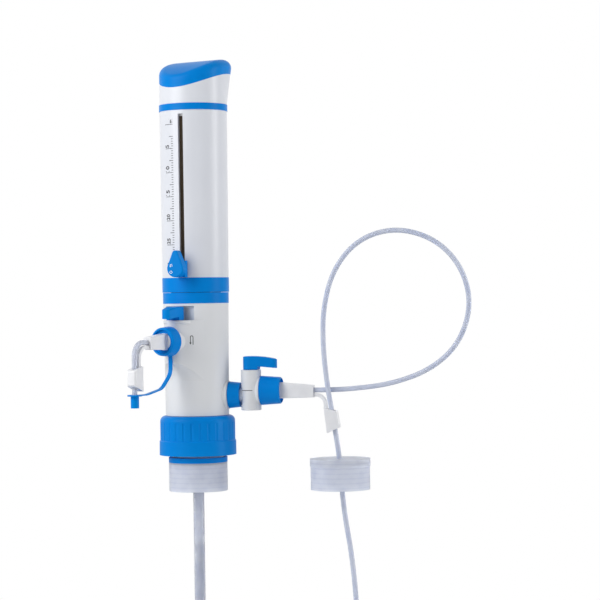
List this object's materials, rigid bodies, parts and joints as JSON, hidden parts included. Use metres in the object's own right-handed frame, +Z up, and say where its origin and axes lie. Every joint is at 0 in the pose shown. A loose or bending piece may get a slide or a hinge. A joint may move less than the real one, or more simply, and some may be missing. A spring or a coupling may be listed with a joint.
{
  "type": "bottle top dispenser",
  "caption": "Bottle top dispenser: lifting white housing on a clear barrel, volume slider, valve levers, capped nozzle, and a looped tube to a second bottle adapter.",
  "frame": {"origin": "centre of the bottle's rim, where it seats against the gasket under the adapter's roof", "axes": "+Z up along the barrel, away from the bottle; -Y along the nozzle arm; the second inlet points 21 degrees from +X towards +Y"},
  "size_m": [0.2521, 0.1736, 0.545],
  "materials": {
    "white_plastic": "satin moulded white plastic",
    "blue_plastic": "glossy moulded blue plastic",
    "grey_plastic": "satin moulded light grey plastic",
    "nozzle_blue": "glossy moulded blue plastic",
    "arm_plastic": "milky white polypropylene",
    "stopcock_plastic": "satin light grey plastic",
    "adapter_plastic": "translucent polypropylene",
    "clear_tube": "translucent fluoropolymer tube",
    "glass": "clear borosilicate glass",
    "guard_plastic": "smoky clear plastic",
    "fluoropolymer": "waxy white fluoropolymer",
    "seal": "soft seal",
    "steel": "stainless steel",
    "valve_ball": "polished valve ball"
  },
  "bodies": {
    "base": {"bottle_adapter": "adapter_plastic", "adapter_spigot": "adapter_plastic", "adapter_gasket": "seal", "base_ring": "blue_plastic", "body_seal": "seal", "lower_body": "grey_plastic", "body_top_ring": "blue_plastic", "valve_block": "fluoropolymer", "suction_valve_seat": "fluoropolymer", "discharge_duct": "fluoropolymer", "inlet_duct": "fluoropolymer", "intake_tube_upper": "clear_tube", "barrel_seal": "seal", "glass_barrel": "glass", "barrel_cap": "fluoropolymer", "barrel_guard": "guard_plastic", "guard_stop_ring": "fluoropolymer", "nozzle_arm": "arm_plastic", "nozzle_tube": "clear_tube", "tether_ring": "blue_plastic", "tether_strap": "blue_plastic", "discharge_spring": "steel", "stopcock_body": "stopcock_plastic", "inlet_arm": "arm_plastic", "inlet_tube": "clear_tube", "second_adapter": "adapter_plastic", "second_gasket": "seal"},
    "collar_nut": {"collar_nut": "blue_plastic"},
    "housing": {"housing_bottom_ring": "blue_plastic", "housing_sleeve": "white_plastic", "accent_ring": "blue_plastic", "top_cap": "blue_plastic", "piston_rod": "steel", "rod_nut": "steel", "piston_head": "fluoropolymer", "piston_seal": "seal"},
    "slider": {"slider_carriage": "blue_plastic", "slider_clamp_shoe": "fluoropolymer"},
    "slider_clamp": {"slider_knob": "blue_plastic", "slider_clamp_screw": "steel"},
    "recirculation_valve": {"recirculation_plug": "fluoropolymer", "recirculation_lever": "blue_plastic"},
    "stopcock_valve": {"stopcock_plug": "fluoropolymer", "stopcock_lever": "blue_plastic"},
    "nozzle_nut": {"nozzle_nut": "nozzle_blue"},
    "inlet_nut": {"inlet_nut": "blue_plastic"},
    "side_coupling_ring": {"side_coupling_ring": "blue_plastic"},
    "nozzle_cap": {"nozzle_cap": "blue_plastic"},
    "intake_tube_lower": {"intake_tube_lower": "clear_tube"},
    "suction_ball": {"suction_ball": "valve_ball"},
    "discharge_ball": {"discharge_ball": "valve_ball"}
  },
  "joints": [
    {"name": "collar_nut_turn", "type": "hinge", "parent": "base", "child": "collar_nut", "pos_m": [0, 0, 0], "axis": [0, 0, 1], "continuous": true},
    {"name": "housing_lift", "type": "slide", "parent": "base", "child": "housing", "axis": [0, 0, 1], "range_m": [0, 0.12]},
    {"name": "volume_slider", "type": "slide", "parent": "housing", "child": "slider", "axis": [0, 0, 1], "range_m": [0, 0.11]},
    {"name": "slider_clamp_turn", "type": "hinge", "parent": "slider", "child": "slider_clamp", "pos_m": [0, 0, 0.1643], "axis": [0.2079, -0.9781, 0], "range_deg": [0, 90]},
    {"name": "recirculation_turn", "type": "hinge", "parent": "base", "child": "recirculation_valve", "pos_m": [0, -0.0293, 0], "axis": [0, 0, 1], "range_deg": [-12, 78]},
    {"name": "stopcock_turn", "type": "hinge", "parent": "base", "child": "stopcock_valve", "pos_m": [0.04332, 0.01663, 0], "axis": [0, 0, 1], "range_deg": [0, 90]},
    {"name": "nozzle_nut_turn", "type": "hinge", "parent": "base", "child": "nozzle_nut", "pos_m": [0, 0, 0.1043], "axis": [0, -1, 0], "continuous": true},
    {"name": "inlet_nut_turn", "type": "hinge", "parent": "base", "child": "inlet_nut", "pos_m": [0, 0, 0.062], "axis": [0.9336, 0.3584, 0], "continuous": true},
    {"name": "side_coupling_turn", "type": "hinge", "parent": "base", "child": "side_coupling_ring", "pos_m": [0, 0, 0.0585], "axis": [0.9336, 0.3584, 0], "continuous": true},
    {"name": "nozzle_cap_pull", "type": "slide", "parent": "base", "child": "nozzle_cap", "axis": [0, 0, -1], "range_m": [0, 0.012], "deforming": ["tether_strap"]},
    {"name": "intake_tube_telescope", "type": "slide", "parent": "base", "child": "intake_tube_lower", "axis": [0, 0, 1], "range_m": [0, 0.05]},
    {"name": "suction_ball_lift", "type": "slide", "parent": "base", "child": "suction_ball", "axis": [0, 0, 1], "range_m": [0, 0.0015]},
    {"name": "discharge_ball_lift", "type": "slide", "parent": "base", "child": "discharge_ball", "axis": [0, -1, 0], "range_m": [0, 0.0012], "stiffness_N_per_m": 30, "springref_m": -0.0005, "deforming": ["discharge_spring"]}
  ]
}
